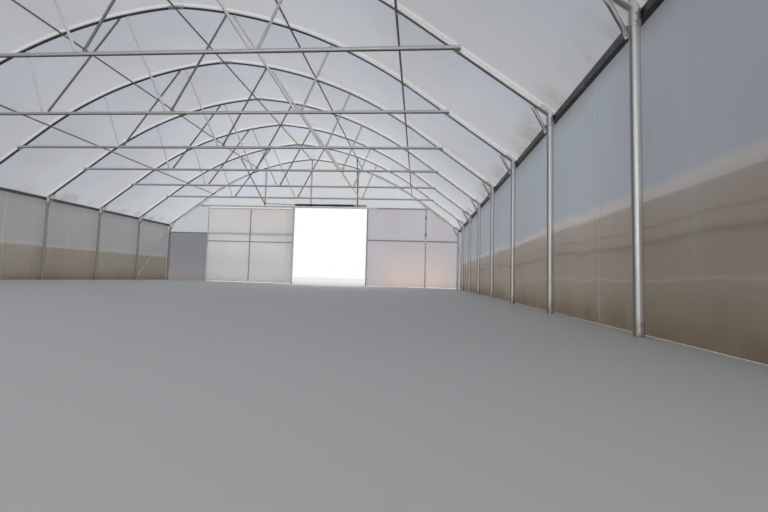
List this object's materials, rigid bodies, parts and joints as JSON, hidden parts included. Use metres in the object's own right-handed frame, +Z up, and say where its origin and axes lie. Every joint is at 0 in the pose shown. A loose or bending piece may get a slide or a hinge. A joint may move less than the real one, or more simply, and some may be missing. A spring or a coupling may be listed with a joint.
{
  "type": "polytunnel greenhouse",
  "caption": "Film-covered greenhouse tunnel: tube arches with trussed ties on upright posts, purlins, closed end and an end wall with a sliding door.",
  "frame": {"origin": "ground level, at the middle of the tunnel's plan", "axes": "+X across, +Y along the tunnel towards the doorway end, +Z up"},
  "size_m": [9.7626, 18.0754, 4.1689],
  "materials": {
    "galvanised_tube": "dull zinc, bright along the middle",
    "zinc_fitting": "dull zinc with some rust",
    "steel_rail": "weathered zinc",
    "door_bar": "weathered, dusty",
    "clear_film": "milky translucent film",
    "wall_film": "dusty translucent film",
    "skirt_film": "film stained by soil",
    "door_film": "milky film",
    "dark_net": "dusty woven net"
  },
  "bodies": {
    "tunnel": {"arches_left": "galvanised_tube", "arches_right": "galvanised_tube", "corner_braces_left": "galvanised_tube", "corner_braces_right": "galvanised_tube", "door_jambs": "galvanised_tube", "door_track": "steel_rail", "eave_rail_left": "steel_rail", "eave_rail_right": "steel_rail", "far_gable_film": "clear_film", "far_gable_studs": "galvanised_tube", "far_header": "galvanised_tube", "far_left_film": "wall_film", "far_mid_rails": "galvanised_tube", "far_right_film": "wall_film", "far_side_stud": "galvanised_tube", "knee_braces_left": "galvanised_tube", "knee_braces_right": "galvanised_tube", "knee_sleeves_left": "zinc_fitting", "knee_sleeves_right": "zinc_fitting", "lower_purlin_left": "galvanised_tube", "lower_purlin_right": "galvanised_tube", "near_end_film": "clear_film", "near_gable_studs": "galvanised_tube", "near_header": "galvanised_tube", "near_mid_rails": "galvanised_tube", "near_studs": "galvanised_tube", "posts_left": "galvanised_tube", "posts_right": "galvanised_tube", "ridge_purlin": "galvanised_tube", "ridge_sleeves": "zinc_fitting", "rolled_net": "dark_net", "roof_film": "clear_film", "side_film_left": "wall_film", "side_film_right": "wall_film", "skirt_film_left": "skirt_film", "skirt_film_right": "skirt_film", "tie_clamps_left": "zinc_fitting", "tie_clamps_right": "zinc_fitting", "ties": "galvanised_tube", "upper_purlin_left": "galvanised_tube", "upper_purlin_right": "galvanised_tube", "web_centre_left": "galvanised_tube", "web_centre_right": "galvanised_tube", "web_middle_left": "galvanised_tube", "web_middle_right": "galvanised_tube", "web_outer_left": "galvanised_tube", "web_outer_right": "galvanised_tube"},
    "door_leaf": {"door_leaf_film": "door_film", "door_leaf_frame": "door_bar", "door_trolleys": "zinc_fitting"}
  },
  "joints": [
    {"name": "door_slide", "type": "slide", "parent": "tunnel", "child": "door_leaf", "axis": [1, 0, 0], "range_m": [0, 2.67]}
  ]
}
